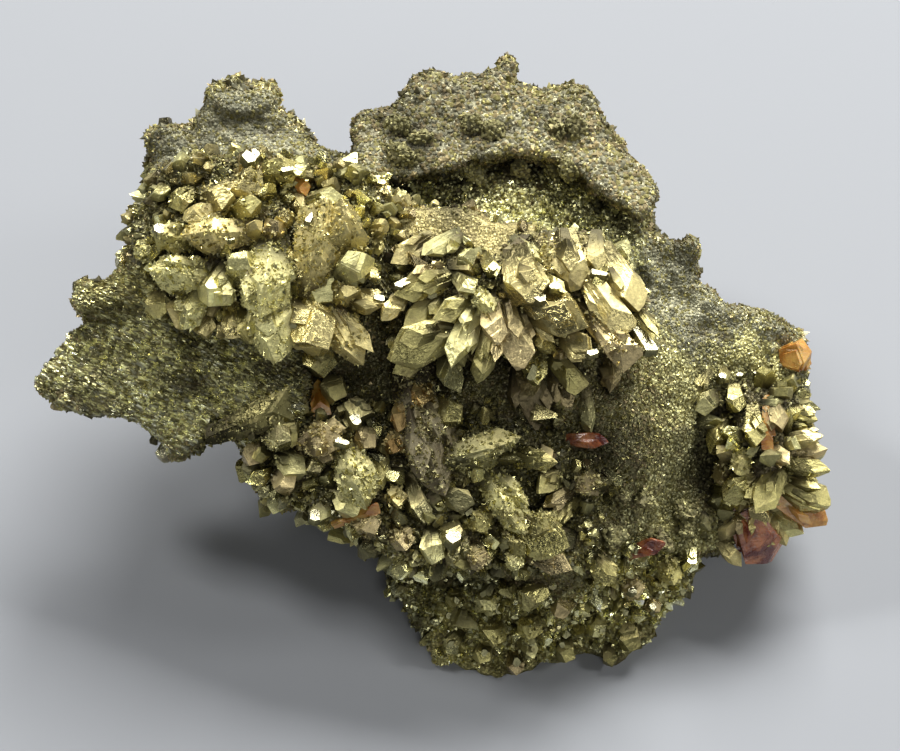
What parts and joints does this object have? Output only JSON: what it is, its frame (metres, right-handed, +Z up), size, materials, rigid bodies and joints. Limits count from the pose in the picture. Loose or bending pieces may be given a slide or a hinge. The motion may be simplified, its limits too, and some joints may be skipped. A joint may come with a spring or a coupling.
{
  "type": "chalcopyrite specimen",
  "caption": "Loose cluster of brassy chalcopyrite crystals on ragged ledges with small orange sphalerite crystals, resting on its broken base.",
  "frame": {"origin": "on the surface that the specimen rests on, under the middle of its plan", "axes": "+X runs along the ledges from the thin wing to the radiating cluster, +Y from the front to the back, +Z up"},
  "size_m": [0.1047, 0.0764, 0.054],
  "materials": {
    "chalcopyrite": "sparkling, tarnished",
    "sphalerite_orange": "resinous, partly see-through",
    "sphalerite_red": "resinous, partly see-through"
  },
  "bodies": {
    "root": {"chalcopyrite_mass": "chalcopyrite", "sphalerite_low_right": "sphalerite_orange", "sphalerite_red": "sphalerite_red", "sphalerite_right_edge": "sphalerite_orange", "sphalerite_centre": "sphalerite_orange", "sphalerite_under_ledge": "sphalerite_red", "sphalerite_lower": "sphalerite_red", "sphalerite_sliver": "sphalerite_orange", "sphalerite_upper": "sphalerite_orange", "sphalerite_front": "sphalerite_orange"}
  },
  "joints": []
}
